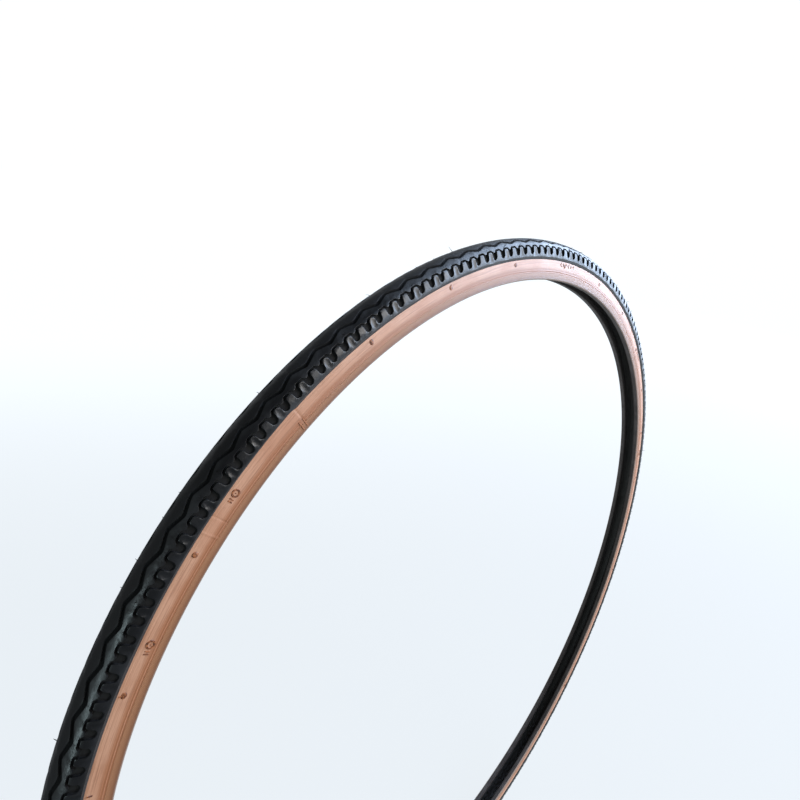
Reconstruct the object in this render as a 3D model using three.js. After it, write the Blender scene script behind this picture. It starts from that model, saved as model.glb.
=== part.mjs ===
// A wired-on bicycle tyre of ISO size 28-622 (700 x 28C), in its free shape off the rim.
// Millimetres. The wheel's axle is the Y axis, +Z is up, and the origin is the wheel's centre.
// A section is drawn in (radius, offset along Y), where 0 offset is the tyre's middle plane.
// Layers are bonded in the real tyre; here a thin gap keeps each one a solid of its own.
import * as THREE from 'three';

// Driving dimensions
const BEAD_SEAT_RADIUS = 311; // half of the 622 mm bead seat diameter
const CROWN_RADIUS = 338.6; // half of the outer diameter
const GAP = 0.12; // between one bonded layer and the next
const STEPS_ROUND = 40; // flats round the wheel

// Layer thicknesses
const PLY = 0.4;
const CHAFER = 0.4;
const SKIN = 0.6;
const BREAKER = 0.45;

// Carcass: the outer face of the outer ply, an arc over the crown and two leaning walls
const ARC_CENTRE = 326.6; // radius of the arc's centre, where the walls begin
const ARC_RADIUS = 7.8;
const WALL_KNEE_RADIUS = 321;
const WALL_KNEE_OFFSET = 8.5;
const WALL_FOOT_RADIUS = 316.8;
const WALL_FOOT_OFFSET = 9.31;

// Bead: a steel hoop with the inner ply turned up round it and a chafer strip outside
const WIRE_RADIUS = 0.8;
const SLEEVE_WALL = 0.26;
const SLEEVE_PLAY = 0.06;
const SLEEVE_LENGTH = 12;
const WIRE_CLEARANCE = 1.24; // from the wire's centre to the ply that wraps it
const WIRE_OFFSET = 7.15;
const WIRE_HOOP_RADIUS = BEAD_SEAT_RADIUS + CHAFER + GAP + PLY + WIRE_CLEARANCE + 0.03;
const CHAFER_TOP = 316;
const SPLICE_ANGLE = THREE.MathUtils.degToRad(121.5); // from +X towards +Z, at the middle of a flat

// Tread: half an ellipse over the crown, with one running groove on each side of the centre rib
const TREAD_CENTRE = 329;
const TREAD_HALF_HEIGHT = CROWN_RADIUS - TREAD_CENTRE;
const TREAD_HALF_WIDTH = 10.2;
const TREAD_EDGE_RADIUS = 325.2;
const GROOVE_ANGLE = 29; // degrees round the ellipse
const GROOVE_HALF_ANGLE = 3.5;
const GROOVE_DEPTH = 1.2;
const ARC_STEP = 30; // degrees between stations on the carcass arc, shared by every layer
const BREAKER_ANGLE = 2 * ARC_STEP; // half of the arc that the breaker strip covers

const material = (color, roughness, metalness = 0) =>
  new THREE.MeshStandardMaterial({ color, roughness, metalness });
const treadRubber = material(0x17181a, 0.55);
const tanRubber = material(0xc49274, 0.6);
const chaferFabric = material(0x8f7a6c, 0.75);
const plyCord = material(0x2a2624, 0.85);
const breakerCord = material(0x7d6a4c, 0.85);
const fillerRubber = material(0x1f1f1f, 0.7);
const beadSteel = material(0xa9a9a6, 0.35, 1);

const point = (radius, offset) => new THREE.Vector2(radius, offset);

// A point at an angle in degrees from the outward radial direction towards +Y.
function onArc(centre, radius, degrees, offset = 0) {
  const angle = THREE.MathUtils.degToRad(degrees);
  return point(centre + radius * Math.cos(angle), offset + radius * Math.sin(angle));
}

function arcStations(from, to) {
  const stations = [];
  for (let degrees = from; degrees <= to; degrees += ARC_STEP) {
    stations.push(degrees);
  }
  return stations;
}

// The carcass line moved out by a distance, from the crown to the wall's foot, on the +Y side.
function carcassHalf(distance, from = 0) {
  const arc = arcStations(from, 90).map((a) => onArc(ARC_CENTRE, ARC_RADIUS + distance, a));
  return [...arc, point(WALL_KNEE_RADIUS, WALL_KNEE_OFFSET + distance), wallFoot(distance)];
}

function wallFoot(distance) {
  return point(WALL_FOOT_RADIUS, WALL_FOOT_OFFSET + distance);
}

// Mirrors a half line that starts on the middle plane into a full line, from -Y to +Y.
function mirrored(half) {
  const others = half.filter((p) => p.y > 1e-9).map((p) => point(p.x, -p.y));
  return [...others.reverse(), ...half];
}

// A strip of even thickness along a line, as a closed outline with mitred corners.
function ribbon(line, thickness) {
  const normals = line.slice(1).map((p, i) => {
    const along = p.clone().sub(line[i]).normalize();
    return point(-along.y, along.x);
  });
  const sides = [1, -1].map((side) =>
    line.map((p, i) => {
      const before = normals[Math.max(i - 1, 0)];
      const after = normals[Math.min(i, normals.length - 1)];
      const mitre = before.clone().add(after).normalize();
      return p.clone().addScaledVector(mitre, (side * thickness) / 2 / mitre.dot(after));
    }),
  );
  return [...sides[0], ...sides[1].reverse()];
}

// Turns a closed outline about the axle. The outline is walked so that the faces point out.
function hoop(name, outline, look) {
  const loop = THREE.ShapeUtils.isClockWise(outline) ? outline : [...outline].reverse();
  const geometry = new THREE.LatheGeometry([...loop, loop[0]].reverse(), STEPS_ROUND);
  const mesh = new THREE.Mesh(geometry, look);
  mesh.name = name;
  return mesh;
}

const onSide = (outline, side) => outline.map((p) => point(p.x, side * p.y));

function tread() {
  const surface = (degrees, depth = 0) => {
    const angle = THREE.MathUtils.degToRad(degrees);
    return point(
      TREAD_CENTRE + (TREAD_HALF_HEIGHT - depth) * Math.cos(angle),
      (TREAD_HALF_WIDTH - depth) * Math.sin(angle),
    );
  };
  const edgeAngle = THREE.MathUtils.radToDeg(
    Math.acos((TREAD_EDGE_RADIUS - TREAD_CENTRE) / TREAD_HALF_HEIGHT),
  );
  const groove = [
    surface(GROOVE_ANGLE - GROOVE_HALF_ANGLE),
    surface(GROOVE_ANGLE - GROOVE_HALF_ANGLE + 1, GROOVE_DEPTH),
    surface(GROOVE_ANGLE + GROOVE_HALF_ANGLE - 1, GROOVE_DEPTH),
    surface(GROOVE_ANGLE + GROOVE_HALF_ANGLE),
  ];
  const outer = [surface(0), surface(13), ...groove, ...[50, 72, 94, edgeAngle].map((a) => surface(a))];

  const overSkin = SKIN + 2 * GAP;
  const overBreaker = BREAKER + 2 * GAP;
  const wallLean = (WALL_KNEE_OFFSET - ARC_RADIUS) / (ARC_CENTRE - WALL_KNEE_RADIUS);
  const edgeFoot = ARC_RADIUS + wallLean * (ARC_CENTRE - TREAD_EDGE_RADIUS) + overSkin;
  const under = (degrees, distance) => onArc(ARC_CENTRE, ARC_RADIUS + distance, degrees);
  const inner = [
    ...arcStations(0, BREAKER_ANGLE).map((a) => under(a, overBreaker)),
    under(BREAKER_ANGLE + 3, overBreaker),
    under(BREAKER_ANGLE + 5, GAP),
    ...[76, 81, 90].map((a) => under(a, overSkin)),
    point(TREAD_EDGE_RADIUS, edgeFoot),
  ];
  return hoop('tread', [...mirrored(outer), ...mirrored(inner).reverse()], treadRubber);
}

function breakerStrip() {
  const line = arcStations(0, BREAKER_ANGLE).map((a) =>
    onArc(ARC_CENTRE, ARC_RADIUS + GAP + BREAKER / 2, a),
  );
  return hoop('breaker_strip', ribbon(mirrored(line), BREAKER), breakerCord);
}

function outerPly() {
  const line = [...carcassHalf(-PLY / 2), point(BEAD_SEAT_RADIUS + 1.4, WALL_FOOT_OFFSET - PLY / 2)];
  return hoop('casing_ply_outer', ribbon(mirrored(line), PLY), plyCord);
}

// The inner ply passes inside the bead hoop, under it, and turns up outside it.
function innerPly() {
  const depth = -1.5 * PLY - GAP;
  const reach = WIRE_CLEARANCE + PLY / 2;
  const innerLeg = WIRE_OFFSET - reach;
  const outerLeg = WIRE_OFFSET + reach;
  const under = WIRE_HOOP_RADIUS - reach;
  const body = carcassHalf(depth).slice(0, -2);
  const line = [
    ...body,
    point(322, 7.65),
    point(319.3, 7.42),
    point(314.5, innerLeg),
    point(under, innerLeg),
    point(under, outerLeg),
    point(WALL_FOOT_RADIUS, outerLeg),
    point(319.3, 8.1),
  ];
  return hoop('casing_ply_inner', ribbon(mirrored(line), PLY), plyCord);
}

function sidewallSkin(name, side) {
  const distance = GAP + SKIN / 2;
  const topEnd = onArc(ARC_CENTRE, ARC_RADIUS + distance, 81);
  const lowEnd = point(CHAFER_TOP + 0.3, WALL_FOOT_OFFSET + distance);
  const line = [topEnd, ...carcassHalf(distance, 90), lowEnd];
  return hoop(name, onSide(ribbon(line, SKIN), side), tanRubber);
}

// The chafer's outer leg has the flat face that a rim's flange presses on.
function chaferStrip(name, side) {
  const outerLeg = WALL_FOOT_OFFSET + GAP + CHAFER / 2;
  const innerLeg = WIRE_OFFSET - WIRE_CLEARANCE - PLY - GAP - CHAFER / 2;
  const base = BEAD_SEAT_RADIUS + CHAFER / 2 + 0.03;
  const line = [
    point(CHAFER_TOP, outerLeg),
    point(base + 0.6, outerLeg),
    point(base, outerLeg - 0.6),
    point(base, innerLeg),
    point(314.4, innerLeg),
  ];
  return hoop(name, onSide(ribbon(line, CHAFER), side), chaferFabric);
}

function beadWire(name, side) {
  const outline = [];
  for (let degrees = 0; degrees < 360; degrees += 60) {
    outline.push(onArc(WIRE_HOOP_RADIUS, WIRE_RADIUS, degrees, WIRE_OFFSET));
  }
  return hoop(name, onSide(outline, side), beadSteel);
}

// A rubber wedge that sits astride the wire and fills the corner where the ply's two legs part.
function beadFiller(name, side) {
  const cradle = [-50, 0, 50].map((a) => onArc(WIRE_HOOP_RADIUS, 1.3, a, WIRE_OFFSET));
  const tip = [point(317.6, 8.05), point(317.6, 7.45)];
  return hoop(name, onSide([...cradle, ...tip], side), fillerRubber);
}

// A crimped tube over the joint of the hoop's two ends. The hoop is straight there.
function beadSleeve(name, side) {
  const sides = 10;
  const inner = WIRE_RADIUS + SLEEVE_PLAY;
  const ring = new THREE.Shape().absarc(0, 0, inner + SLEEVE_WALL, 0, 2 * Math.PI);
  ring.holes.push(new THREE.Path().absarc(0, 0, inner, 0, 2 * Math.PI, true));
  const geometry = new THREE.ExtrudeGeometry(ring, {
    depth: SLEEVE_LENGTH,
    bevelEnabled: false,
    curveSegments: sides,
  });
  const mesh = new THREE.Mesh(geometry.translate(0, 0, -SLEEVE_LENGTH / 2), beadSteel);
  const radius = WIRE_HOOP_RADIUS * Math.cos(Math.PI / STEPS_ROUND);
  mesh.position.set(radius * Math.cos(SPLICE_ANGLE), side * WIRE_OFFSET, radius * Math.sin(SPLICE_ANGLE));
  mesh.rotation.y = -SPLICE_ANGLE;
  mesh.name = name;
  return mesh;
}

const tyre = new THREE.Group();
tyre.add(tread(), breakerStrip(), outerPly(), innerPly());
for (const [word, side] of [['left', 1], ['right', -1]]) {
  tyre.add(
    sidewallSkin(`sidewall_${word}`, side),
    chaferStrip(`chafer_${word}`, side),
    beadWire(`bead_wire_${word}`, side),
    beadFiller(`bead_filler_${word}`, side),
    beadSleeve(`bead_splice_sleeve_${word}`, side),
  );
}

export default tyre;
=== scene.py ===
import math
import random

import bpy
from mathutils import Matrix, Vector
from mathutils.geometry import delaunay_2d_cdt


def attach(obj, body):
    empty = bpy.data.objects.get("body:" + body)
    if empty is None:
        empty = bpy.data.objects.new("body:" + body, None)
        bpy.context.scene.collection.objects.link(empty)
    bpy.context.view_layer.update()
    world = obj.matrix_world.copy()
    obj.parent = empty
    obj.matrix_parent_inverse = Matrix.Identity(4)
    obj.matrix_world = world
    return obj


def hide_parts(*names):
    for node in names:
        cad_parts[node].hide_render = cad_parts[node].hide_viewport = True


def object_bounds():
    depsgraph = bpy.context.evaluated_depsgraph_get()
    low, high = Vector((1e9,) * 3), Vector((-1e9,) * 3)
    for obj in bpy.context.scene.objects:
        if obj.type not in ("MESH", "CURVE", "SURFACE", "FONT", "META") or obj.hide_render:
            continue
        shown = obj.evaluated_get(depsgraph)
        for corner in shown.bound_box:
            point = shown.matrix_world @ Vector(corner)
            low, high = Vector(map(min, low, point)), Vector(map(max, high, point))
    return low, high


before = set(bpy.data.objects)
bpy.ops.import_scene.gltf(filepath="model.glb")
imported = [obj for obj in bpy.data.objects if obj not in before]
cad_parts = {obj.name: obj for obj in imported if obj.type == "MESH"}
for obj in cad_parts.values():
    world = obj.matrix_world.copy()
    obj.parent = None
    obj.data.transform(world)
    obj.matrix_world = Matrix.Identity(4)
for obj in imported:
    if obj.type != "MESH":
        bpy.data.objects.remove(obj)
cad_box = [list(corner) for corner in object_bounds()]

# Sections are drawn in millimetres as (radius, offset along Y) and turned about the Y axis.
MM = 0.001
GAP = 0.12  # between two layers
PLY = 0.4
CHAFER = 0.4
SKIN = 0.6
BREAKER = 0.45
BEAD_SEAT_RADIUS = 311
ARC_CENTRE = 326.6  # the carcass is an arc about this point, with walls below it
ARC_RADIUS = 7.8  # its outer face
WIRE_OFFSET = 7.15
WIRE_HOOP_RADIUS = 313.2
WIRE_RADIUS = 0.8
CORE_RADIUS = 1.24  # what the inner ply wraps: the wire, its filler's cradle and its sleeve
OUTER_LEG = 9.31  # outer face of the plies beside the bead
SKIN_TOP = 327.6
SKIN_FOOT = 316.25
MAP_RADIUS = 330  # where the surface map has its true length round the wheel

# The tread's face is an ellipse round a point at TREAD_CENTRE
TREAD_CENTRE = 329.0
TREAD_HALF_HEIGHT = 9.58
TREAD_HALF_WIDTH = 10.15
TREAD_EDGE_RADIUS = 325.2
WAVES = 120
WAVE = 17.3  # nominal length of one wave of the pattern

SPLICE = 121.8  # where the tread strip's ends meet, in degrees from +X towards +Z
SEED = 28622
RNG = random.Random(SEED)


# ---------------------------------------------------------------- outlines

def on_arc(centre, radius, degrees, offset=0.0):
    a = math.radians(degrees)
    return (centre + radius * math.cos(a), offset + radius * math.sin(a))


def rounded(points, radius, cuts=4):
    """An open line with its inner corners rounded."""
    out = [points[0]]
    for before, corner, after in zip(points, points[1:], points[2:]):
        c = Vector(corner)
        to_before = Vector(before) - c
        to_after = Vector(after) - c
        reach = min(radius, to_before.length / 2.05, to_after.length / 2.05)
        a = c + to_before.normalized() * reach
        b = c + to_after.normalized() * reach
        for k in range(cuts + 1):
            t = k / cuts
            out.append(tuple(a * (1 - t) ** 2 + c * (2 * t * (1 - t)) + b * t ** 2))
    out.append(points[-1])
    return out


def mirrored(half):
    """A full line from -Y to +Y, from a half line that starts on the middle plane."""
    other = [(r, -y) for r, y in half if y > 1e-6]
    return other[::-1] + half


def ribbon(line, thickness):
    """A closed outline of even thickness along a line."""
    normals = []
    for a, b in zip(line, line[1:]):
        along = (Vector(b) - Vector(a)).normalized()
        normals.append(Vector((-along.y, along.x)))
    sides = []
    for sign in (1, -1):
        side = []
        for i, p in enumerate(line):
            before = normals[max(i - 1, 0)]
            after = normals[min(i, len(normals) - 1)]
            mitre = (before + after).normalized()
            side.append(tuple(Vector(p) + mitre * (sign * thickness / 2 / mitre.dot(after))))
        sides.append(side)
    return sides[0] + sides[1][::-1]


def carcass_arc(distance):
    """The carcass from the crown to just above its wall, moved outwards by a distance."""
    return [on_arc(ARC_CENTRE, ARC_RADIUS + distance, a) for a in range(0, 79, 6)]


def on_side(outline, side):
    return [(r, side * y) for r, y in outline]


# ---------------------------------------------------------------- meshes

def finish_mesh(name, verts, faces, uvs, material, nodes, sharp=40, cut=None):
    """Makes the piece, in metres, smooth apart from its sharp edges, and ties it to the frame."""
    mesh = bpy.data.meshes.new(name)
    mesh.from_pydata([(x * MM, y * MM, z * MM) for x, y, z in verts], [], faces)
    if uvs:
        layer = mesh.uv_layers.new(name="Surface")
        flat = [0.0] * (2 * len(mesh.loops))
        k = 0
        for face_uv in uvs:
            for u, v in face_uv:
                flat[k] = u * MM
                flat[k + 1] = v * MM
                k += 2
        layer.data.foreach_set("uv", flat)
    if cut:
        mesh.attributes.new("cut", "FLOAT", "POINT").data.foreach_set("value", cut)
    mesh.polygons.foreach_set("use_smooth", [True] * len(mesh.polygons))
    mesh.update()
    mesh.set_sharp_from_angle(angle=math.radians(sharp))
    mesh.materials.append(material)
    piece = bpy.data.objects.new(name, mesh)
    bpy.context.scene.collection.objects.link(piece)
    weighted = piece.modifiers.new("weighted_normals", "WEIGHTED_NORMAL")
    weighted.keep_sharp = True
    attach(piece, "root")
    if nodes:
        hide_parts(*nodes)
    return piece


def even_angles(steps):
    return [360.0 * k / steps for k in range(steps)]


def hoop(name, outline, angles, material, nodes, shift=None):
    """A closed outline turned about the axle. shift(angle, r, y) gives a moved (r, y)."""
    twice_area = sum(a[0] * b[1] - b[0] * a[1] for a, b in zip(outline, outline[1:] + outline[:1]))
    if twice_area < 0:
        outline = outline[::-1]
    n = len(outline)
    length = [0.0]
    for a, b in zip(outline, outline[1:] + outline[:1]):
        length.append(length[-1] + math.dist(a, b))
    verts = []
    for angle in angles:
        c, s = math.cos(math.radians(angle)), math.sin(math.radians(angle))
        for r, y in outline:
            if shift:
                r, y = shift(angle, r, y)
            verts.append((r * c, y, r * s))
    faces, uvs = [], []
    m = len(angles)
    for j in range(m):
        j2 = (j + 1) % m
        u1 = math.radians(angles[j]) * MAP_RADIUS
        u2 = math.radians(angles[j2] + (360 if j2 == 0 else 0)) * MAP_RADIUS
        for i in range(n):
            i2 = (i + 1) % n
            faces.append((j * n + i, j * n + i2, j2 * n + i2, j2 * n + i))
            uvs.append(((u1, length[i]), (u1, length[i + 1]), (u2, length[i + 1]), (u2, length[i])))
    return finish_mesh(name, verts, faces, uvs, material, nodes)


# ---------------------------------------------------------------- materials

class Look:
    """A small helper that builds one procedural material."""

    def __init__(self, name):
        self.material = bpy.data.materials.new(name)
        self.material.use_nodes = True
        self.nodes = self.material.node_tree.nodes
        self.links = self.material.node_tree.links
        self.shader = self.nodes["Principled BSDF"]

    def node(self, kind, **inputs):
        made = self.nodes.new(kind)
        for key, value in inputs.items():
            self.set(made.inputs[key.replace("_", " ")], value)
        return made

    def set(self, socket, value):
        if isinstance(value, bpy.types.NodeSocket):
            self.links.new(value, socket)
        else:
            socket.default_value = value

    def math(self, operation, a, b=0.0, clamp=False):
        made = self.nodes.new("ShaderNodeMath")
        made.operation = operation
        made.use_clamp = clamp
        for socket, value in zip(made.inputs, (a, b)):
            self.set(socket, value)
        return made.outputs[0]

    def scaled(self, value, factor, offset=0.0):
        made = self.math("MULTIPLY", value, factor)
        return self.math("ADD", made, offset) if offset else made

    def noise(self, vector, scale, detail=3.0, roughness=0.55):
        made = self.node("ShaderNodeTexNoise", Vector=vector, Scale=scale, Detail=detail,
                         Roughness=roughness)
        return made.outputs["Fac"]

    def ramp(self, value, low, high):
        """0 where value is low, 1 where it is high, smooth between."""
        made = self.nodes.new("ShaderNodeMapRange")
        made.interpolation_type = "SMOOTHSTEP"
        self.set(made.inputs["Value"], value)
        self.set(made.inputs["From Min"], low)
        self.set(made.inputs["From Max"], high)
        return made.outputs["Result"]

    def mix(self, factor, a, b):
        made = self.nodes.new("ShaderNodeMix")
        made.data_type = "RGBA"
        self.set(made.inputs["Factor"], factor)
        for socket, value in ((made.inputs[6], a), (made.inputs[7], b)):
            self.set(socket, value if isinstance(value, bpy.types.NodeSocket) else (*value, 1.0))
        return made.outputs[2]

    def bump(self, height, distance, strength=1.0, normal=None):
        made = self.node("ShaderNodeBump", Height=height)
        made.inputs["Distance"].default_value = distance
        made.inputs["Strength"].default_value = strength
        if normal:
            self.links.new(normal, made.inputs["Normal"])
        return made.outputs["Normal"]

    def surface(self):
        """Round-the-wheel and across-the-section distances, in metres, from the Surface map."""
        uv = self.nodes.new("ShaderNodeUVMap")
        uv.uv_map = "Surface"
        parts = self.node("ShaderNodeSeparateXYZ", Vector=uv.outputs["UV"])
        return parts.outputs["X"], parts.outputs["Y"]

    def streaks(self, stretch, *noises):
        """Noises drawn out along the wheel, each given as (scale, detail, roughness)."""
        along, across = self.surface()
        drawn = self.node("ShaderNodeCombineXYZ", X=self.scaled(along, stretch), Y=across)
        return [self.noise(drawn.outputs[0], *noise) for noise in noises]

    def place(self):
        """The object's own position, its radius from the axle and its distance from the middle."""
        pos = self.nodes.new("ShaderNodeTexCoord").outputs["Object"]
        parts = self.node("ShaderNodeSeparateXYZ", Vector=pos)
        x, y, z = (parts.outputs[k] for k in "XYZ")
        radius = self.math("SQRT", self.math("ADD", self.math("MULTIPLY", x, x),
                                             self.math("MULTIPLY", z, z)))
        return pos, radius, self.math("ABSOLUTE", y)

    def done(self, color, roughness, normal=None, **values):
        self.set(self.shader.inputs["Base Color"], color)
        self.set(self.shader.inputs["Roughness"], roughness)
        if normal:
            self.links.new(normal, self.shader.inputs["Normal"])
        for key, value in values.items():
            self.shader.inputs[key.replace("_", " ")].default_value = value
        return self.material


def tread_rubber():
    """Black rubber with an oily film in patches, duller on the crown and in the grooves, and
    painted near black in the grooves as painted shade.
    """
    look = Look("tread_rubber")
    pos, _, middle = look.place()
    film = look.ramp(look.noise(pos, 55.0, 4.0), 0.42, 0.68)
    grain = look.noise(pos, 1900.0, 3.0, 0.6)
    dust = look.ramp(grain, 0.62, 0.8)
    crown = look.ramp(middle, 0.0074, 0.0048)
    cut = look.nodes.new("ShaderNodeAttribute")
    cut.attribute_name = "cut"
    groove = look.ramp(cut.outputs["Fac"], 0.1, 0.9)
    color = look.mix(film, (0.0042, 0.0046, 0.0052), (0.0085, 0.0091, 0.0102))
    color = look.mix(look.scaled(dust, 0.6), color, (0.02, 0.021, 0.024))
    # Painted shade: the deeper into a groove, the nearer to black, standing in for the shade that
    # falls in the grooves.
    color = look.mix(groove, color, (0.0016, 0.0016, 0.0018))
    rough = look.scaled(film, 0.13, 0.25)
    rough = look.math("ADD", rough, look.scaled(grain, 0.1))
    rough = look.math("ADD", rough, look.scaled(groove, 0.5), clamp=True)
    rough = look.math("ADD", rough, look.scaled(crown, 0.24), clamp=True)
    fine = look.bump(grain, 0.00003, 0.6)
    normal = look.bump(look.noise(pos, 330.0, 2.0), 0.0003, 0.6, fine)
    return look.done(color, rough, normal)


def tan_rubber():
    """Tan rubber with streaks round the wheel and specks, browner and darker towards the wall's
    foot: partly a browner tone, partly painted shade where the wall turns away from the light.
    """
    look = Look("tan_rubber")
    pos, radius, _ = look.place()
    streak, coarse = look.streaks(0.03, (2600.0, 4.0, 0.6), (1150.0, 2.0, 0.5))
    cloud = look.noise(pos, 38.0, 5.0)
    speck = look.noise(pos, 900.0, 2.0, 0.7)
    color = look.mix(look.ramp(cloud, 0.35, 0.7), (0.54, 0.285, 0.175), (0.46, 0.215, 0.12))
    for where, amount, stain_and_painted_shade in (
        # Painted shade, with a browner tone: the wall's lower part, which turns away from the
        # light, is painted darker and browner.
        (look.ramp(radius, 0.3212, 0.3182), 0.85, (0.31, 0.115, 0.047)),
        (look.ramp(streak, 0.5, 0.7), 0.35, (0.24, 0.1, 0.05)),
        (look.ramp(coarse, 0.52, 0.66), 0.4, (0.26, 0.11, 0.055)),
        (look.ramp(speck, 0.66, 0.8), 0.35, (0.26, 0.12, 0.06)),
    ):
        color = look.mix(look.scaled(where, amount), color, stain_and_painted_shade)
    rings = look.bump(streak, 0.00006, 0.7)
    normal = look.bump(speck, 0.00003, 0.5, rings)
    return look.done(color, look.scaled(cloud, 0.16, 0.33), normal)


def brown_rubber():
    """The darker, blotched rubber of the moulded nibs and marks."""
    look = Look("brown_rubber")
    pos, _, _ = look.place()
    blotch = look.noise(pos, 700.0, 3.0, 0.65)
    grain = look.noise(pos, 2400.0, 2.0)
    color = look.mix(look.ramp(blotch, 0.38, 0.62), (0.1, 0.03, 0.012), (0.36, 0.125, 0.045))
    return look.done(color, look.scaled(blotch, 0.25, 0.35), look.bump(grain, 0.00004, 0.6))


def cord_fabric(name, dark, light, rough_low, pitch, lift):
    """Rubbered cords that lie on the slant: a row of round ridges with a crossing set under it."""
    look = Look(name)
    pos, _, _ = look.place()
    along, across = look.surface()

    def cords(operation):
        turn = look.scaled(look.math(operation, along, across), math.pi / pitch)
        return look.math("ABSOLUTE", look.math("SINE", turn))

    cloth = look.math("ADD", look.scaled(cords("ADD"), 0.75), look.scaled(cords("SUBTRACT"), 0.25))
    cloud = look.noise(pos, 45.0, 4.0)
    lint = look.noise(pos, 1500.0, 3.0, 0.7)
    color = look.mix(cloth, dark, light)
    color = look.mix(look.scaled(look.ramp(cloud, 0.45, 0.75), 0.4), color, dark)
    normal = look.bump(lint, 0.00004, 0.5, look.bump(cloth, lift, 0.8))
    return look.done(color, look.scaled(lint, 0.2, rough_low), normal)


def chafer_fabric():
    """Tan and brown on the outer leg, near black on the base and the toe, with a plain weave and a
    painted highlight along the outer leg's bottom corner.
    """
    look = Look("chafer_fabric")
    pos, radius, middle = look.place()
    along, across = look.surface()
    thread = 2 * math.pi / 0.0007
    warp = look.math("SINE", look.scaled(along, thread))
    weft = look.math("SINE", look.scaled(across, thread))
    weave = look.scaled(look.math("MULTIPLY", warp, weft), 0.5, 0.5)
    cloud = look.noise(pos, 60.0, 4.0)
    lint = look.noise(pos, 1400.0, 3.0, 0.7)
    outer = look.ramp(middle, 0.0088, 0.0095)
    wall = look.mix(look.ramp(radius, 0.3118, 0.3155), (0.19, 0.075, 0.032), (0.33, 0.145, 0.066))
    # Painted highlight: the bottom of the outer leg and its rounded corner are painted light grey,
    # standing in for the light caught there.
    wall = look.mix(look.ramp(radius, 0.3128, 0.3116), wall, (0.27, 0.19, 0.15))
    base = look.mix(look.ramp(cloud, 0.4, 0.65), (0.04, 0.036, 0.035), (0.08, 0.073, 0.071))
    base = look.mix(look.ramp(middle, 0.0056, 0.0064), (0.02, 0.018, 0.018), base)
    color = look.mix(outer, base, wall)
    color = look.mix(look.scaled(weave, 0.25), color, (0.09, 0.05, 0.03))
    rough = look.math("SUBTRACT", look.scaled(lint, 0.2, 0.64), look.scaled(outer, 0.34))
    normal = look.bump(lint, 0.00003, 0.5, look.bump(weave, 0.00006, 0.6))
    return look.done(color, rough, normal)


def filler_rubber():
    look = Look("filler_rubber")
    pos, _, _ = look.place()
    grain = look.noise(pos, 1200.0, 3.0)
    color = look.mix(grain, (0.008, 0.008, 0.008), (0.022, 0.021, 0.02))
    return look.done(color, look.scaled(grain, 0.25, 0.45), look.bump(grain, 0.00004, 0.6))


def bead_steel():
    """Drawn wire, with fine scratches along it."""
    look = Look("bead_steel")
    pos, _, _ = look.place()
    scratch, = look.streaks(0.02, (6000.0, 3.0))
    color = look.mix(look.noise(pos, 200.0, 3.0), (0.46, 0.45, 0.43), (0.33, 0.32, 0.3))
    rough = look.scaled(scratch, 0.25, 0.22)
    return look.done(color, rough, look.bump(scratch, 0.00002, 0.5), Metallic=1.0)


TREAD_RUBBER = tread_rubber()
TAN_RUBBER = tan_rubber()
CHAFER_FABRIC = chafer_fabric()
BROWN_RUBBER = brown_rubber()
PLY_CORD = cord_fabric("ply_cord", (0.034, 0.031, 0.03), (0.1, 0.092, 0.088),
                       rough_low=0.55, pitch=0.0008, lift=0.00008)
BREAKER_CORD = cord_fabric("breaker_cord", (0.11, 0.075, 0.04), (0.25, 0.18, 0.1),
                           rough_low=0.6, pitch=0.0009, lift=0.0001)
FILLER_RUBBER = filler_rubber()
BEAD_STEEL = bead_steel()


# ---------------------------------------------------------------- tread

def tread_angle_table(count=720):
    """Pairs of arc length and section angle, from the crown to the tread's edge."""
    edge = math.acos((TREAD_EDGE_RADIUS - TREAD_CENTRE) / TREAD_HALF_HEIGHT)
    table = [(0.0, 0.0)]
    last = (TREAD_CENTRE + TREAD_HALF_HEIGHT, 0.0)
    for k in range(1, count + 1):
        a = edge * k / count
        here = (TREAD_CENTRE + TREAD_HALF_HEIGHT * math.cos(a), TREAD_HALF_WIDTH * math.sin(a))
        table.append((table[-1][0] + math.dist(last, here), a))
        last = here
    return table


ARC_TABLE = tread_angle_table()
HALF_ARC = ARC_TABLE[-1][0]


def tread_section(s, depth):
    """The point at arc length s from the crown, a depth under the surface, as (r, y)."""
    t = min(abs(s) / HALF_ARC, 1.0) * (len(ARC_TABLE) - 1)
    low, high = 0, len(ARC_TABLE) - 1
    while high - low > 1:
        mid = (low + high) // 2
        if ARC_TABLE[mid][0] <= abs(s):
            low = mid
        else:
            high = mid
    (s0, a0), (s1, a1) = ARC_TABLE[low], ARC_TABLE[high]
    a = a0 + (a1 - a0) * min(1.0, (abs(s) - s0) / (s1 - s0))
    normal = Vector((math.cos(a) / TREAD_HALF_HEIGHT, math.sin(a) / TREAD_HALF_WIDTH)).normalized()
    r = TREAD_CENTRE + TREAD_HALF_HEIGHT * math.cos(a) - normal.x * depth
    y = TREAD_HALF_WIDTH * math.sin(a) - normal.y * depth
    return r, math.copysign(y, s)


# The pattern, for one side: x runs round the wheel over one wave, s runs out from the crown.
BLOCK = WAVE / 2
ZIG_MIDDLE = 4.85
ZIG_SWING = 1.25
ZIG_HALF = 1.1  # half width of the zigzag groove
ZIG_ROUND = 0.96  # 1 gives sharp turns
ZIG_STEPS = 14
RIB_EDGE = 8.85
TOOTH_FOOT = (2.1, RIB_EDGE + 0.1)  # half width and s
TOOTH_TIP = (0.55, 10.75)
TOOTH_SLOPE = 1.14
HOUSE_PEAK = 10.0  # where a shoulder block starts, with a peak like a low roof
HOUSE_DROP = 0.15
SHOULDER_FLAT = 1.5
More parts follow.
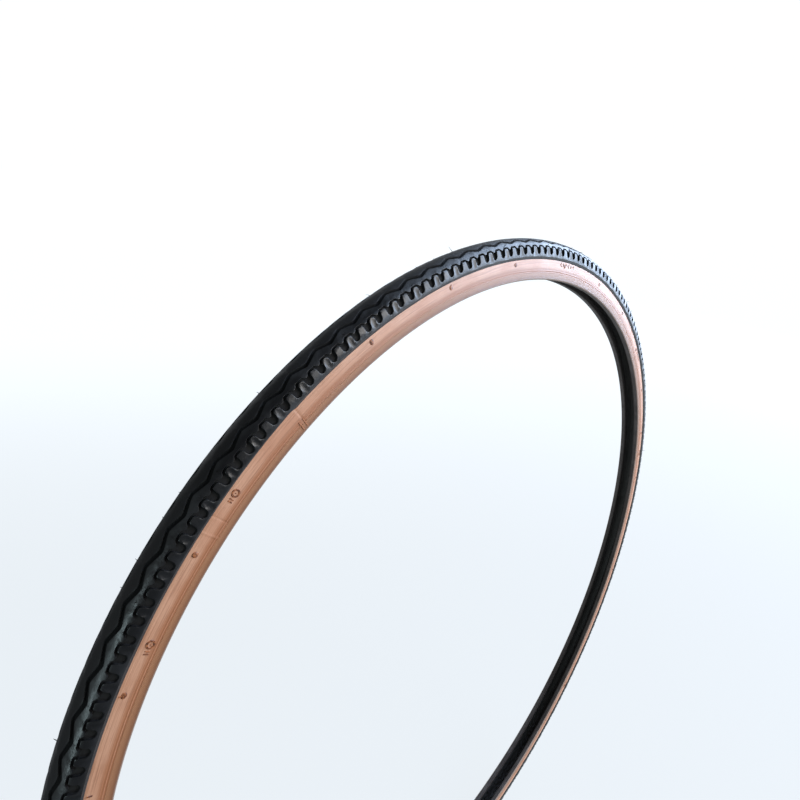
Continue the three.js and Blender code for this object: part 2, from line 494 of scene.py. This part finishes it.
# The slots between the shoulder blocks, as s and half width from the inner end out
SLOT_SHAPE = ((11.2, 2.45), (12.8, 2.3), (14.2, 2.1), (15.0, 1.5), (15.6, 0.6))
BAND_STEP = 17.15  # past the blocks, a small step down to a plain band
QUARTERS = [WAVE * k / 4 for k in range(5)]


def zig(x, phase):
    """A zigzag with slightly rounded turns, whose turns are at the wave's ends and middle."""
    swing = math.asin(ZIG_ROUND * math.cos(2 * math.pi * x / WAVE)) / math.asin(ZIG_ROUND)
    return ZIG_SWING * phase * swing


def zig_line(s_middle, phase):
    steps = [WAVE * k / ZIG_STEPS for k in range(ZIG_STEPS + 1)]
    return [(x, s_middle + zig(x, phase)) for x in steps]


def rib_outer_line():
    """The smooth rib's outer edge, with a small tooth that points into each slot."""
    corners = [(0, RIB_EDGE)]
    (foot_half, foot), (tip_half, tip) = TOOTH_FOOT, TOOTH_TIP
    for n in range(2):
        x = BLOCK * (n + 0.5)
        corners += [(x - foot_half, foot), (x - tip_half, tip), (x + tip_half, tip),
                    (x + foot_half, foot)]
    corners += [(WAVE, RIB_EDGE)]
    return rounded(corners, 0.45, 1)


def comb_line():
    """The inner edge of the shoulder: house-shaped blocks parted by slots that narrow outward."""
    eaves = HOUSE_PEAK + HOUSE_DROP
    corners = [(0, HOUSE_PEAK), (SHOULDER_FLAT, eaves)]
    for n in range(2):
        x = BLOCK * (n + 0.5)
        left = [(x - half, s) for s, half in SLOT_SHAPE]
        corners += left + [(2 * x - a, s) for a, s in left[::-1]]
        if n == 0:
            corners += [(BLOCK - SHOULDER_FLAT, eaves), (BLOCK + SHOULDER_FLAT, eaves)]
    corners += [(WAVE - SHOULDER_FLAT, eaves), (WAVE, HOUSE_PEAK)]
    return rounded(corners, 0.25, 1)


def shifted_line(line, distance):
    """A line that repeats every wave, moved along its own normals. Its ends stay in line."""
    last = len(line) - 1
    out = []
    for i, p in enumerate(line):
        before = Vector(line[i - 1]) if i else Vector(line[last - 1]) - Vector((WAVE, 0))
        after = Vector(line[i + 1]) if i < last else Vector(line[1]) + Vector((WAVE, 0))
        n1 = (Vector(p) - before).normalized()
        n2 = (after - Vector(p)).normalized()
        mitre = Vector((-(n1.y + n2.y), n1.x + n2.x)).normalized()
        scale = max(0.6, mitre.dot(Vector((-n2.y, n2.x))))
        moved = Vector(p) + mitre * distance / scale
        out.append((0.0 if i == 0 else WAVE if i == last else moved.x, moved.y))
    return out


def floor_depth(s):
    """The depth of the grooves' floors, which rise outwards in the slots."""
    s = abs(s)
    if s < 7.5:
        return 1.6
    return 1.75 - 0.85 * max(0.0, (s - 11.5) / 5.0) ** 1.3


def level(x, s, phase):
    """0 on the raised rubber and 1 over the grooves."""
    across = abs(s)
    turn = ZIG_MIDDLE + zig(x, phase)
    if across < turn + ZIG_HALF:
        return 1 if across > turn - ZIG_HALF else 0
    off = abs((x % BLOCK) - BLOCK / 2)  # from the nearest slot's middle
    (foot_half, foot), (tip_half, tip) = TOOTH_FOOT, TOOTH_TIP
    tooth = foot if off > foot_half else min(tip, tip - (off - tip_half) * TOOTH_SLOPE)
    if across < tooth:
        return 0
    mouth, mouth_half = SLOT_SHAPE[0]
    if across < mouth:
        reach = BLOCK / 2 - off - SHOULDER_FLAT
        slope = (mouth - HOUSE_PEAK - HOUSE_DROP) / (BLOCK / 2 - mouth_half - SHOULDER_FLAT)
        house = HOUSE_PEAK + 0.1 + slope * max(0.0, reach)
        return 1 if across < house else 0
    for (s0, half0), (s1, half1) in zip(SLOT_SHAPE, SLOT_SHAPE[1:]):
        if across < s1:
            return 1 if off < half0 + (half1 - half0) * (across - s0) / (s1 - s0) else 0
    return 0


def tread_unit():
    """One wave of the tread as triangles over (x, s), with a depth for every point."""
    points, depths, edges = [], [], []

    def add_line(line, depth_of):
        start = len(points)
        for x, s in line:
            points.append((x, s))
            depths.append(depth_of(s))
        edges.extend((start + k, start + k + 1) for k in range(len(line) - 1))

    # A groove's edge has a line on the top, one on the rounded corner and one on the floor
    rings = ((0.17, lambda s: 0.0), (0.03, lambda s: 0.07), (-0.17, floor_depth))
    for side, phase in ((1, 1), (-1, -1)):
        for line, raised in (
            (zig_line(ZIG_MIDDLE - ZIG_HALF, phase), -1),
            (zig_line(ZIG_MIDDLE + ZIG_HALF, phase), 1),
            (rib_outer_line(), -1),
            (comb_line(), 1),
        ):
            for inset, depth_of in rings:
                moved = shifted_line(line, inset * raised)
                add_line([(x, side * s) for x, s in moved], depth_of)
        for s, depth in ((BAND_STEP, 0.0), (BAND_STEP + 0.22, 0.2), (18.5, 0.24), (HALF_ARC, 0.34)):
            add_line([(x, side * s) for x in QUARTERS], lambda _, d=depth: d)
    add_line([(x, 0.0) for x in QUARTERS], lambda s: 0.0)

    # Staggered rows fill the open rubber, clear of the lines
    row_step, row_points, clearance = 1.5, 10, 0.62
    rows = int(2 * HALF_ARC / row_step)
    taken = [Vector(p) for p in points]
    for row in range(1, rows):
        s = -HALF_ARC + 2 * HALF_ARC * row / rows
        for k in range(1, row_points):
            x = WAVE * (k + (0.25 if row % 2 else -0.25)) / row_points
            here = Vector((x, s))
            if min((here - p).length for p in taken) < clearance:
                continue
            phase = 1 if s > 0 else -1
            points.append((x, s))
            if abs(s) > BAND_STEP:
                depths.append(0.2 + 0.05 * (abs(s) - BAND_STEP))
            else:
                depths.append(level(x, s, phase) * floor_depth(s))

    for x_side in (0.0, WAVE):
        column = sorted((s, i) for i, (x, s) in enumerate(points) if abs(x - x_side) < 1e-7)
        edges.extend((a[1], b[1]) for a, b in zip(column, column[1:]))

    made = delaunay_2d_cdt([Vector(p) for p in points], edges, [], 0, 1e-5, True)
    new_points, _, triangles, origins = made[:4]
    new_depths = []
    for p, origin in zip(new_points, origins):
        if origin:
            new_depths.append(depths[origin[0]])
        else:
            new_depths.append(floor_depth(p.y))
    return [(p.x, p.y) for p in new_points], new_depths, triangles


FAR_SPLICE = SPLICE + 40
JOG = 1.35  # the step in the tread's edge at its splice
JOG_RUN = 22  # and the degrees over which the edge comes back
EDGE_ZONE = 0.88  # the part of the half arc that the edge's wandering leaves alone


def edge_jog(angle, side):
    """How far the tread's edge stops short of its place, in mm: a step at the splice."""
    past = (angle - SPLICE) % 360 if side < 0 else (FAR_SPLICE - angle) % 360
    step = JOG * (1 - past / JOG_RUN) if past < JOG_RUN else 0.0
    turn = math.radians(angle)
    wander = 0.09 * math.sin(7 * turn + math.radians(40)) + 0.06 * math.sin(19 * turn)
    return step + wander + 0.1


def tread_point(angle, s, depth):
    """A point of the tread, with the slight runout that a moulded tyre has."""
    along = abs(s) / HALF_ARC
    if along > EDGE_ZONE:
        s = math.copysign(abs(s) - edge_jog(angle, s) * (along - EDGE_ZONE) / (1 - EDGE_ZONE), s)
    runout = 0.05 + 0.05 * math.sin(math.radians(2 * angle + 25))
    r, y = tread_section(s, depth + runout)
    c, w = math.cos(math.radians(angle)), math.sin(math.radians(angle))
    return (r * c, y, r * w)


def tread_underside():
    """The section's inner line, over the breaker and the skins, from one edge to the other."""
    over_breaker = ARC_RADIUS + BREAKER + 2 * GAP
    over_skin = ARC_RADIUS + SKIN + 2 * GAP
    half = [on_arc(ARC_CENTRE, over_breaker, a) for a in (0, 20, 40, 60, 63)]
    half += [on_arc(ARC_CENTRE, ARC_RADIUS + GAP, 65)]
    half += [on_arc(ARC_CENTRE, over_skin, a) for a in (73, 82, 91)]
    half += [(TREAD_EDGE_RADIUS + 0.35, 8.86)]
    return mirrored(half)


def make_tread():
    unit, depths, triangles = tread_unit()
    right_edge = {}
    left_edge = [j for j, (x, s) in enumerate(unit) if abs(x) < 1e-6]
    for i, (x, s) in enumerate(unit):
        if abs(x - WAVE) < 1e-6:
            right_edge[i] = min(left_edge, key=lambda j: abs(unit[j][1] - s))
    kept = [i for i in range(len(unit)) if i not in right_edge]
    order = {i: k for k, i in enumerate(kept)}
    per = len(kept)
    verts, faces, uvs, cut = [], [], [], []
    step = 360 / WAVES
    for n in range(WAVES):
        for i in kept:
            x, s = unit[i]
            verts.append(tread_point(step * (n + x / WAVE), s, depths[i]))
            # The cut attribute is the depth into a groove: the tread's material makes the rubber
            # duller there and paints shade with it.
            cut.append(min(1.0, depths[i] / floor_depth(s)) if abs(s) < BAND_STEP else 0.0)

    def index(n, i):
        if i in right_edge:
            return ((n + 1) % WAVES) * per + order[right_edge[i]]
        return n * per + order[i]

    for n in range(WAVES):
        for a, b, c in triangles:
            faces.append((index(n, a), index(n, c), index(n, b)))
            uvs.append(tuple(((unit[k][0] + n * WAVE), unit[k][1]) for k in (a, c, b)))

    # The underside, joined to the two edges
    rims = []
    for side in (-1, 1):
        rims.append([
            min(kept, key=lambda i: abs(unit[i][0] - x) + abs(unit[i][1] - side * HALF_ARC))
            for x in QUARTERS[:4]
        ])
    inner = tread_underside()
    n_in = len(inner)
    base = len(verts)
    columns = WAVES * 4
    for j in range(columns):
        angle = 360 * j / columns
        c, w = math.cos(math.radians(angle)), math.sin(math.radians(angle))
        for r, y in inner:
            if abs(y) > 8.8 and r < 326:  # the two ends keep to the wandering edge
                r += edge_jog(angle, y)
            verts.append((r * c, y, r * w))
            # The underside counts as the deepest groove: duller, and given full painted shade.
            cut.append(1.0)

    def rim(side_index, j):
        n, k = divmod(j % columns, 4)
        return index(n, rims[side_index][k])

    for j in range(columns):
        j2 = (j + 1) % columns
        u1, u2 = j * WAVE / 4, (j + 1) * WAVE / 4
        for i in range(n_in - 1):
            a, b = base + j * n_in + i, base + j * n_in + i + 1
            c, d = base + j2 * n_in + i + 1, base + j2 * n_in + i
            faces.append((a, d, c, b))
            uvs.append(((u1, i), (u2, i), (u2, i + 1), (u1, i + 1)))
        first, first2 = base + j * n_in, base + j2 * n_in
        faces.append((rim(0, j), rim(0, j + 1), first2, first))
        uvs.append(((u1, -20), (u2, -20), (u2, -19), (u1, -19)))
        last, last2 = base + j * n_in + n_in - 1, base + j2 * n_in + n_in - 1
        faces.append((last, last2, rim(1, j + 1), rim(1, j)))
        uvs.append(((u1, 19), (u2, 19), (u2, 20), (u1, 20)))
    finish_mesh("tread_cap", verts, faces, uvs, TREAD_RUBBER, ["tread"], 45, cut)


def spike(verts, faces, foot, direction, length, radius, lean):
    """A thin tapered hair from its foot, bent over by lean."""
    up = direction.normalized()
    side = up.orthogonal().normalized()
    other = up.cross(side)
    start = len(verts)
    sides = 5
    rings = ((-0.15, 1.3), (0.12, 1.0), (0.55, 0.8), (1.0, 0.35))
    for t, width in rings:
        centre = Vector(foot) + up * (length * t) + Vector(lean) * (length * max(t, 0) ** 2)
        for k in range(sides):
            a = 2 * math.pi * k / sides
            spoke = side * math.cos(a) + other * math.sin(a)
            verts.append(tuple(centre + spoke * radius * width))
    close_rings(faces, start, len(rings), sides)


def close_rings(faces, start, rings, sides):
    """Joins rings of points into a closed skin with flat ends."""
    for ring in range(rings - 1):
        for k in range(sides):
            a, b = start + ring * sides + k, start + ring * sides + (k + 1) % sides
            faces.append((a, b, b + sides, a + sides))
    faces.append(tuple(start + k for k in reversed(range(sides))))
    faces.append(tuple(start + (rings - 1) * sides + k for k in range(sides)))


HAIRS = 120  # vents along each shoulder; about a third leave no hair


def make_vent_hairs():
    """The threads of rubber that the mould's vents leave on the tread's shoulders."""
    verts, faces = [], []
    for side in (1, -1):
        for n in range(HAIRS):
            angle = 360 / HAIRS * n + RNG.uniform(-0.5, 0.5)
            s = side * RNG.choice((7.5, 7.8, 8.3, 10.6, 11.2))
            if RNG.random() < 0.35:
                continue
            foot = tread_point(angle, s, 0.15)
            direction = Vector(tread_point(angle, s, -1.0)) - Vector(foot)
            length = RNG.uniform(0.6, 1.8) if RNG.random() < 0.7 else RNG.uniform(1.8, 2.8)
            lean = [RNG.uniform(-0.5, 0.5) for _ in range(3)]
            outward = direction.normalized().y + lean[1]
            if outward * side > 0:  # no hair reaches past the tyre's width
                room = TREAD_HALF_WIDTH - 0.15 - abs(foot[1])
                length = min(length, room / abs(outward))
            spike(verts, faces, foot, direction, length, RNG.uniform(0.17, 0.26), lean)
    finish_mesh("vent_hairs", verts, faces, None, TREAD_RUBBER, None, 60)


make_tread()
make_vent_hairs()


# ---------------------------------------------------------------- carcass and beads

def breaker_strip():
    middle = ARC_RADIUS + GAP + BREAKER / 2
    line = mirrored([on_arc(ARC_CENTRE, middle, a) for a in range(0, 61, 6)])
    hoop("breaker_strip_cords", ribbon(line, BREAKER), even_angles(240), BREAKER_CORD,
         ["breaker_strip"])


def wall_line(distance, foot):
    """The carcass wall below the arc, moved outwards by a distance, down to its foot."""
    line = [
        on_arc(ARC_CENTRE, ARC_RADIUS + distance, 84),
        (ARC_CENTRE, ARC_RADIUS + distance),
        (321, 8.5 + distance),
        (316.8, OUTER_LEG + distance),
        foot,
    ]
    return rounded(line, 2.0, 4)


def casing_plies():
    outer = carcass_arc(-PLY / 2) + wall_line(-PLY / 2, (312.4, OUTER_LEG - PLY / 2))
    hoop("casing_ply_outer_cords", ribbon(mirrored(outer), PLY), even_angles(240), PLY_CORD,
         ["casing_ply_outer"])

    depth = -1.5 * PLY - GAP
    reach = CORE_RADIUS + PLY / 2
    under = WIRE_HOOP_RADIUS - reach
    lower = [
        on_arc(ARC_CENTRE, ARC_RADIUS + depth, 84),
        (322, 7.62),
        (319.3, 7.4),
        (314.5, WIRE_OFFSET - reach),
        (under, WIRE_OFFSET - reach),
        (under, WIRE_OFFSET + reach),
        (316.8, WIRE_OFFSET + reach),
        (319.3, 8.08),
    ]
    inner = carcass_arc(depth) + rounded(lower, 1.1, 4)
    hoop("casing_ply_inner_cords", ribbon(mirrored(inner), PLY), even_angles(360), PLY_CORD,
         ["casing_ply_inner"])


# Moulded rings on the sidewall: radius, width and height, in mm
WALL_RINGS = (
    (324.3, 0.28, 0.07), (323.2, 0.22, -0.05), (319.6, 0.22, 0.05), (318.9, 0.22, 0.05),
    (317.5, 0.3, 0.12), (316.9, 0.25, -0.1),
)
# Seams across the sidewall: angle and width in degrees, and height in mm
SEAM_LINES = ((SPLICE, 0.12, -0.12), (132.6, 0.1, -0.1), (134.1, 0.1, 0.1), (301.8, 0.12, -0.14))


def wall_relief(angle, r):
    """The height of the moulded rings and seams at a place on the sidewall, in mm."""
    height = 0.0
    for ring, width, lift in WALL_RINGS:
        height += lift * math.exp(-(((r - ring) / width) ** 2))
    for seam, width, lift in SEAM_LINES:
        height += lift * math.exp(-(((angle - seam) / width) ** 2))
    turn = math.radians(angle)
    return height + 0.035 * math.sin(3 * turn) + 0.02 * math.sin(11 * turn + math.radians(60))


def seam_angles(steps):
    """Even steps round the wheel, with close ones at each seam."""
    angles = set(round(a, 4) for a in even_angles(steps))
    for seam, width, _ in SEAM_LINES:
        for k in range(-6, 7):
            angles.add(round(seam + k * width * 0.45, 4))
    ordered = sorted(angles)
    kept = [ordered[0]]
    for a in ordered[1:]:
        if a - kept[-1] > 0.03:
            kept.append(a)
    return kept


def wall_outer(r):
    """A nearly flat wall with a slight bulge, flush with the chafer at its foot."""
    t = min(1.0, (SKIN_TOP - r) / (SKIN_TOP - SKIN_FOOT))
    return 8.5 + 1.33 * t ** 0.85 + 0.28 * math.sin(math.pi * min(1, t * 1.02)) ** 1.2


def sidewall(word, side):
    """The tan skin, thickest over the knee, from under the tread's edge to the chafer."""
    inner = [on_arc(ARC_CENTRE, ARC_RADIUS + GAP, 80)]
    inner += wall_line(GAP, (SKIN_FOOT, OUTER_LEG + GAP))
    rows = 60
    radii = [SKIN_TOP - (SKIN_TOP - SKIN_FOOT) * k / rows for k in range(rows + 1)]
    outer = [(r, wall_outer(r)) for r in radii]
    moulded = set(on_side(outer, side))

    def shift(angle, r, y):
        if r < 327 and (r, y) in moulded:
            return r, y + side * wall_relief(angle, r)
        return r, y

    hoop(f"sidewall_skin_{word}", on_side(inner + outer[::-1], side), seam_angles(480), TAN_RUBBER,
         [f"sidewall_{word}"], shift)


def wall_point(side, angle, r, lift, along=0.0, across=0.0):
    """A point on the sidewall's face, moved along and across it and lifted off it, in mm."""
    r += across
    a = math.radians(angle) + along / r
    relief = wall_relief(math.degrees(a) % 360, r) if r > SKIN_FOOT else 0.0
    return (r * math.cos(a), side * (wall_outer(r) + relief + lift), r * math.sin(a))


def dome(verts, faces, side, angle, r, length, width, height, tilt=0.0):
    """A low nib with a lumpy top, sunk a little into the face."""
    start = len(verts)
    sides = 14
    rings = ((1.0, -0.15), (1.0, 0.12), (0.86, 0.55), (0.58, 0.88), (0.25, 1.0))
    for reach, rise in rings:
        for k in range(sides):
            a = 2 * math.pi * k / sides
            wobble = 1 + RNG.uniform(-0.12, 0.12) * (reach < 1)
            x, w = length * reach * wobble * math.cos(a), width * reach * wobble * math.sin(a)
            lift = height * rise * (1 + tilt * x / length) if rise > 0 else rise
            verts.append(wall_point(side, angle, r, lift, x, w))
    close_rings(faces, start, len(rings), sides)


def stroke(verts, faces, side, angle, r, line, width, height, closed=False):
    """A raised line on the wall, wider at its foot. The line's points are (along, across) in mm."""
    start = len(verts)
    n = len(line)
    section = ((0.5, -0.12), (0.3, height), (-0.3, height), (-0.5, -0.12))
    for i, p in enumerate(line):
        before = line[i - 1] if i or closed else p
        after = line[(i + 1) % n] if i < n - 1 or closed else p
        run = (Vector(after) - Vector(before)).normalized()
        out = Vector((-run.y, run.x))
        for reach, lift in section:
            q = Vector(p) + out * (width * reach)
            verts.append(wall_point(side, angle, r, lift, q.x, q.y))
    for i in range(n if closed else n - 1):
        a, b = start + 4 * i, start + 4 * ((i + 1) % n)
        for k in range(4):
            k2 = (k + 1) % 4
            faces.append((a + k, a + k2, b + k2, b + k))
    if not closed:
        faces.append((start + 3, start + 2, start + 1, start))
        faces.append(tuple(start + 4 * (n - 1) + k for k in range(4)))


def ring_line(radius, sides=20):
    return [on_arc(0, radius, 360 * k / sides) for k in range(sides)]


NIB_START = 3.9
NIB_STEP = 12
NIB_RADIUS = 322.4


def wall_nibs(word, side):
    """The stubs that the mould's vents leave round the wall, some with a torn flap."""
    verts, faces = [], []
    for n in range(360 // NIB_STEP):
        angle = NIB_START + NIB_STEP * n
        if abs(angle - SPLICE) < 4:  # none shows beside the splice
            continue
        r = NIB_RADIUS + RNG.uniform(-0.3, 0.3)
        dome(verts, faces, side, angle, r, RNG.uniform(1.5, 1.9), RNG.uniform(1.3, 1.7),
             RNG.uniform(0.34, 0.46), RNG.uniform(-0.2, 0.2))
        if RNG.random() < 0.6:
            flap = [(0, 0), (RNG.uniform(-0.8, 0.8), RNG.uniform(1.8, 2.6))]
            stroke(verts, faces, side, angle, r, flap, 1.1, 0.22)
    finish_mesh(f"wall_nibs_{word}", verts, faces, None, BROWN_RUBBER, None, 50)


MARK_RADIUS = 322.2
LOW_MARK_RADIUS = 320.6
ARROW_RADIUS = 323.3
RING_MARKS = (
    (130.2, MARK_RADIUS), (143.6, LOW_MARK_RADIUS), (250.2, MARK_RADIUS), (10.2, MARK_RADIUS),
    (310.5, LOW_MARK_RADIUS),
)
ARROW_ROWS = ((75.2, 6), (195.0, 6), (315.2, 6), (158.0, 5), (38.0, 5))  # middle angle, count


def wall_marks(word, side):
    """Raised generic marks: rings, dashes and arrows that show the way the tyre turns."""
    verts, faces = [], []
    for angle, r in RING_MARKS:
        stroke(verts, faces, side, angle, r, ring_line(1.75), 1.2, 0.26, closed=True)
        dome(verts, faces, side, angle, r, 0.4, 0.4, 0.26)
        for k in range(2):
            dash = [(3.3 + 1.3 * k, -1.2), (3.3 + 1.3 * k, 1.2)]
            stroke(verts, faces, side, angle, r, dash, 0.8, 0.24)
    for middle, count in ARROW_ROWS:
        for k in range(count):
            angle = middle + (k - (count - 1) / 2) * 0.72
            if k % 3 == 2:
                line = [(-1.0, -1.2), (0.7, 0.0), (-1.0, 1.2)]
            else:
                line = [(0, -1.2), (0, 1.2)]
            stroke(verts, faces, side, angle, ARROW_RADIUS, line, 1.1, 0.24)
    finish_mesh(f"wall_marks_{word}", verts, faces, None, BROWN_RUBBER, None, 40)


def splice_ridges(word, side):
    """Two short ridges across the wall's foot where the carcass strip overlaps itself."""
    verts, faces = [], []
    for start, height in ((SPLICE, 0.26), (SPLICE + 0.5, 0.3), (SPLICE + 180, 0.2)):
        line = [(0.05 * math.sin(k), -2.8 + 0.7 * k) for k in range(9)]
        stroke(verts, faces, side, start, 316.0, line, 0.85, height)
    finish_mesh(f"splice_ridges_{word}", verts, faces, None, TAN_RUBBER, None, 40)


def chafer(word, side):
    outer_leg = OUTER_LEG + GAP + CHAFER / 2
    inner_leg = WIRE_OFFSET - CORE_RADIUS - PLY - GAP - CHAFER / 2
    base = BEAD_SEAT_RADIUS + CHAFER / 2 + 0.03
    line = rounded([
        (316.15, outer_leg),
        (base + 0.6, outer_leg),
        (base, outer_leg - 0.6),
        (base, inner_leg),
        (314.4, inner_leg),
    ], 0.5, 4)
    hoop(f"chafer_strip_{word}", on_side(ribbon(line, CHAFER), side), even_angles(480),
         CHAFER_FABRIC, [f"chafer_{word}"])


def bead_core(word, side):
    """The wire, and the wedge that sits on it in a round cradle and tapers into the wall."""
    ring = [on_arc(WIRE_HOOP_RADIUS, WIRE_RADIUS, a, WIRE_OFFSET) for a in range(0, 360, 30)]
    hoop(f"bead_wire_hoop_{word}", on_side(ring, side), even_angles(240), BEAD_STEEL,
         [f"bead_wire_{word}"])
    turns = (-55, -36, -18, 0, 18, 36, 55)
    cradle = [on_arc(WIRE_HOOP_RADIUS, CORE_RADIUS - 0.02, a, WIRE_OFFSET) for a in turns]
    wedge = rounded([cradle[-1], (317.6, 8.02), (317.6, 7.5), cradle[0]], 0.2, 3)
    hoop(f"bead_filler_wedge_{word}", on_side(cradle + wedge[1:-1], side), even_angles(240),
         FILLER_RUBBER, [f"bead_filler_{word}"])


SLEEVE_ANGLE = 121.5
SLEEVE_HALF_ANGLE = 1.1
SLEEVE_OUTER = 1.14
SLEEVE_BORE = 0.84


def splice_sleeve(word, side):
    """A short tube over the wire's ends, bent with the hoop, with three crimped waists."""
    verts, faces, uvs = [], [], []
    steps = 36
    sides = 16
    for k in range(steps + 1):
        t = -1 + 2 * k / steps
        angle = math.radians(SLEEVE_ANGLE + SLEEVE_HALF_ANGLE * t)
        waist = max(math.exp(-(((t - w) / 0.09) ** 2)) for w in (-0.6, 0.0, 0.6))
        for radius in (SLEEVE_OUTER - 0.09 * waist, SLEEVE_BORE):
            for m in range(sides):
                r, y = on_arc(WIRE_HOOP_RADIUS, radius, 360 * m / sides, side * WIRE_OFFSET)
                verts.append((r * math.cos(angle), y, r * math.sin(angle)))
    per = 2 * sides
    for k in range(steps):
        for m in range(sides):
            m2 = (m + 1) % sides
            a, b = k * per + m, k * per + m2
            faces.append((a, b, b + per, a + per))
            a, b = a + sides, b + sides
            faces.append((a, a + per, b + per, b))
            for _ in range(2):
                uvs.append(((k, m), (k, m + 1), (k + 1, m + 1), (k + 1, m)))
    for k, flip in ((0, False), (steps, True)):
        for m in range(sides):
            m2 = (m + 1) % sides
            face = (k * per + m, k * per + sides + m, k * per + sides + m2, k * per + m2)
            faces.append(face[::-1] if flip else face)
            uvs.append(((0, 0), (0, 1), (1, 1), (1, 0)))
    finish_mesh(f"bead_sleeve_{word}", verts, faces, uvs, BEAD_STEEL,
                [f"bead_splice_sleeve_{word}"])


breaker_strip()
casing_plies()
for word, side in (("left", 1), ("right", -1)):
    sidewall(word, side)
    chafer(word, side)
    bead_core(word, side)
    splice_sleeve(word, side)
    wall_nibs(word, side)
    wall_marks(word, side)
    splice_ridges(word, side)


# ---------------------------------------------------------------- floor, lights, camera

CAMERA_PLACE = (-0.3125, -0.2178, 0.3901)
CAMERA_DOWN = 23.71  # degrees below level
CAMERA_TURN = -45.72  # degrees about Z, from +Y
CAMERA_LENS = 25.19
AHEAD = (0.716, 0.698)  # the way that the camera looks, over the floor


def make_floor():
    """A large sheet of dark paper whose emission is painted light, fading towards the camera and
    far to the left; it stands in for the light on a white floor and also lights the tyre.
    """
    mesh = bpy.data.meshes.new("floor")
    z = cad_box[0][2] - 0.0005
    mesh.from_pydata([(-40, -40, z), (40, -40, z), (40, 40, z), (-40, 40, z)], [], [(0, 1, 2, 3)])
    floor = bpy.data.objects.new("floor", mesh)
    look = Look("floor_paper")
    pos = look.nodes.new("ShaderNodeTexCoord").outputs["Object"]
    color = look.mix(look.noise(pos, 1.5, 2.0), (0.03, 0.031, 0.033), (0.036, 0.037, 0.039))
    parts = look.node("ShaderNodeSeparateXYZ", Vector=pos)
    x, y = parts.outputs["X"], parts.outputs["Y"]
    away = look.math("ADD", look.scaled(x, AHEAD[0]), look.scaled(y, AHEAD[1]))
    across = look.math("SUBTRACT", look.scaled(x, AHEAD[1]), look.scaled(y, AHEAD[0]))
    # Painted light: the floor's own emission, brighter away from the camera and dimmer far to the
    # left.
    near = look.scaled(look.ramp(away, -0.45, 0.02), 0.76)
    far = look.scaled(look.ramp(away, 0.3, 2.0), 0.2)
    left = look.ramp(look.math("ADD", across, look.scaled(away, 0.85)), -1.3, -0.75)
    painted_floor_light = look.math("ADD", look.math("MULTIPLY", look.math("ADD", near, far), left), 0.12)
    look.shader.inputs["Emission Color"].default_value = (0.9, 0.955, 1.0, 1.0)
    look.set(look.shader.inputs["Emission Strength"], painted_floor_light)
    look.done(color, 0.8, Specular_IOR_Level=0.1)
    mesh.materials.append(look.material)
    bpy.context.scene.collection.objects.link(floor)


def make_world():
    """A soft sky, bright on the far side of the tyre and dimmer overhead."""
    world = bpy.data.worlds.new("studio")
    bpy.context.scene.world = world
    world.use_nodes = True
    nodes, links = world.node_tree.nodes, world.node_tree.links
    background = nodes["Background"]

    def fade(value, start, end, at_start, at_end):
        made = nodes.new("ShaderNodeMapRange")
        made.interpolation_type = "SMOOTHSTEP"
        for name, number in (("From Min", start), ("From Max", end), ("To Min", at_start),
                             ("To Max", at_end)):
            made.inputs[name].default_value = number
        links.new(value, made.inputs["Value"])
        return made.outputs["Result"]

    coord = nodes.new("ShaderNodeTexCoord").outputs["Generated"]
    toward = nodes.new("ShaderNodeVectorMath")
    toward.operation = "DOT_PRODUCT"
    toward.inputs[1].default_value = Vector((0.8, 0.58, 0.1)).normalized()
    links.new(coord, toward.inputs[0])
    parts = nodes.new("ShaderNodeSeparateXYZ")
    links.new(coord, parts.inputs[0])
    strength = nodes.new("ShaderNodeMath")
    strength.operation = "MULTIPLY"
    links.new(fade(toward.outputs["Value"], 0.36, 0.62, 0.32, 1.09), strength.inputs[0])
    links.new(fade(parts.outputs["Z"], 0.28, 0.6, 1.0, 0.3), strength.inputs[1])
    links.new(strength.outputs[0], background.inputs["Strength"])
    background.inputs["Color"].default_value = (0.92, 0.955, 1.0, 1.0)


def area_light(name, place, target, width, height, power, color):
    data = bpy.data.lights.new(name, "AREA")
    data.shape = "RECTANGLE"
    data.size = width
    data.size_y = height
    data.energy = power
    data.color = color
    lamp = bpy.data.objects.new(name, data)
    lamp.location = place
    lamp.rotation_euler = (Vector(target) - Vector(place)).to_track_quat("-Z", "Y").to_euler()
    bpy.context.scene.collection.objects.link(lamp)


def make_camera():
    data = bpy.data.cameras.new("camera")
    data.sensor_width = 36.0
    data.lens = CAMERA_LENS
    data.clip_start = 0.01
    camera = bpy.data.objects.new("camera", data)
    camera.location = CAMERA_PLACE
    camera.rotation_euler = (math.radians(90 - CAMERA_DOWN), 0.0, math.radians(CAMERA_TURN))
    bpy.context.scene.collection.objects.link(camera)
    bpy.context.scene.camera = camera


make_floor()
make_world()
# name, place, target, width, height, power, color
LIGHTS = (
    ("window_softbox", (1.8, -0.62, 0.88), (0.1, 0, 0.22), 2.2, 2.2, 122.0, (0.58, 0.74, 1.0)),
    ("front_softbox", (1.15, -1.95, 0.75), (-0.1, 0, 0.1), 1.5, 1.5, 36.0, (1.0, 0.95, 0.9)),
    ("low_softbox", (1.5, -0.85, -0.1), (0, 0, 0.3), 1.3, 0.4, 5.0, (0.66, 0.8, 1.0)),
    ("side_strip", (-1.4, -0.6, 0.12), (-0.28, 0, 0.12), 0.14, 0.8, 4.0, (0.75, 0.95, 1.0)),
)
for light in LIGHTS:
    area_light(*light)
make_camera()
bpy.context.scene.view_settings.view_transform = "Standard"
